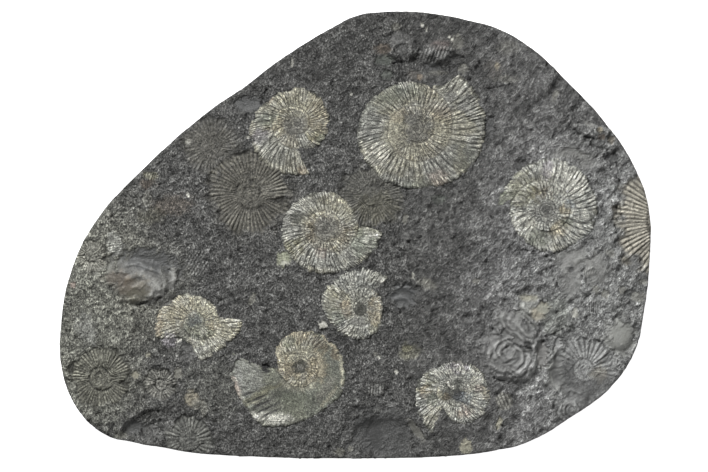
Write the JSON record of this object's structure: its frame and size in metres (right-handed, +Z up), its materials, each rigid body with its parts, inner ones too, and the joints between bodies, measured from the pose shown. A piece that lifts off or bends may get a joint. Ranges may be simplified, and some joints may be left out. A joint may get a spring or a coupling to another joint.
{
  "type": "fossil ammonite cluster",
  "caption": "Rounded plate of dark shale with pressed cream and silver ribbed ammonites lying on its bedding plane.",
  "frame": {"origin": "centre of the plate's outline box, on the flat underside", "axes": "+X to the right and +Y to the top of the fossil face as it is looked at, +Z up out of the fossil face"},
  "size_m": [0.341, 0.2581, 0.0228],
  "materials": {
    "shale": "matt, split and hackly, with darker and browner stains",
    "shell_large": "cream and tan ribs with dark grooves, worn grey at the hub",
    "shell_upper_left": "cream and tan inner whorls, silver-green outer whorl, dark grooves",
    "shell_right": "silver-white ribs with dark grooves, worn at the hub",
    "shell_centre": "tan inner whorls, silver and grey-green outer whorl, dark grooves",
    "shell_centre_low": "silver ribs with a tan patch, dark grooves",
    "shell_open_coil": "tan ribbed inner whorls, smooth grey-green outer whorl with a cream rim",
    "shell_left": "cream and tan ribs, broken, silver at the foot",
    "shell_bottom_right": "silver upper half and cream lower half, dark grooves"
  },
  "bodies": {
    "root": {"shale_slab": "shale", "ammonite_large": "shell_large", "ammonite_upper_left": "shell_upper_left", "ammonite_right": "shell_right", "ammonite_centre": "shell_centre", "ammonite_centre_low": "shell_centre_low", "ammonite_open_coil": "shell_open_coil", "ammonite_left": "shell_left", "ammonite_bottom_right": "shell_bottom_right"}
  },
  "joints": []
}
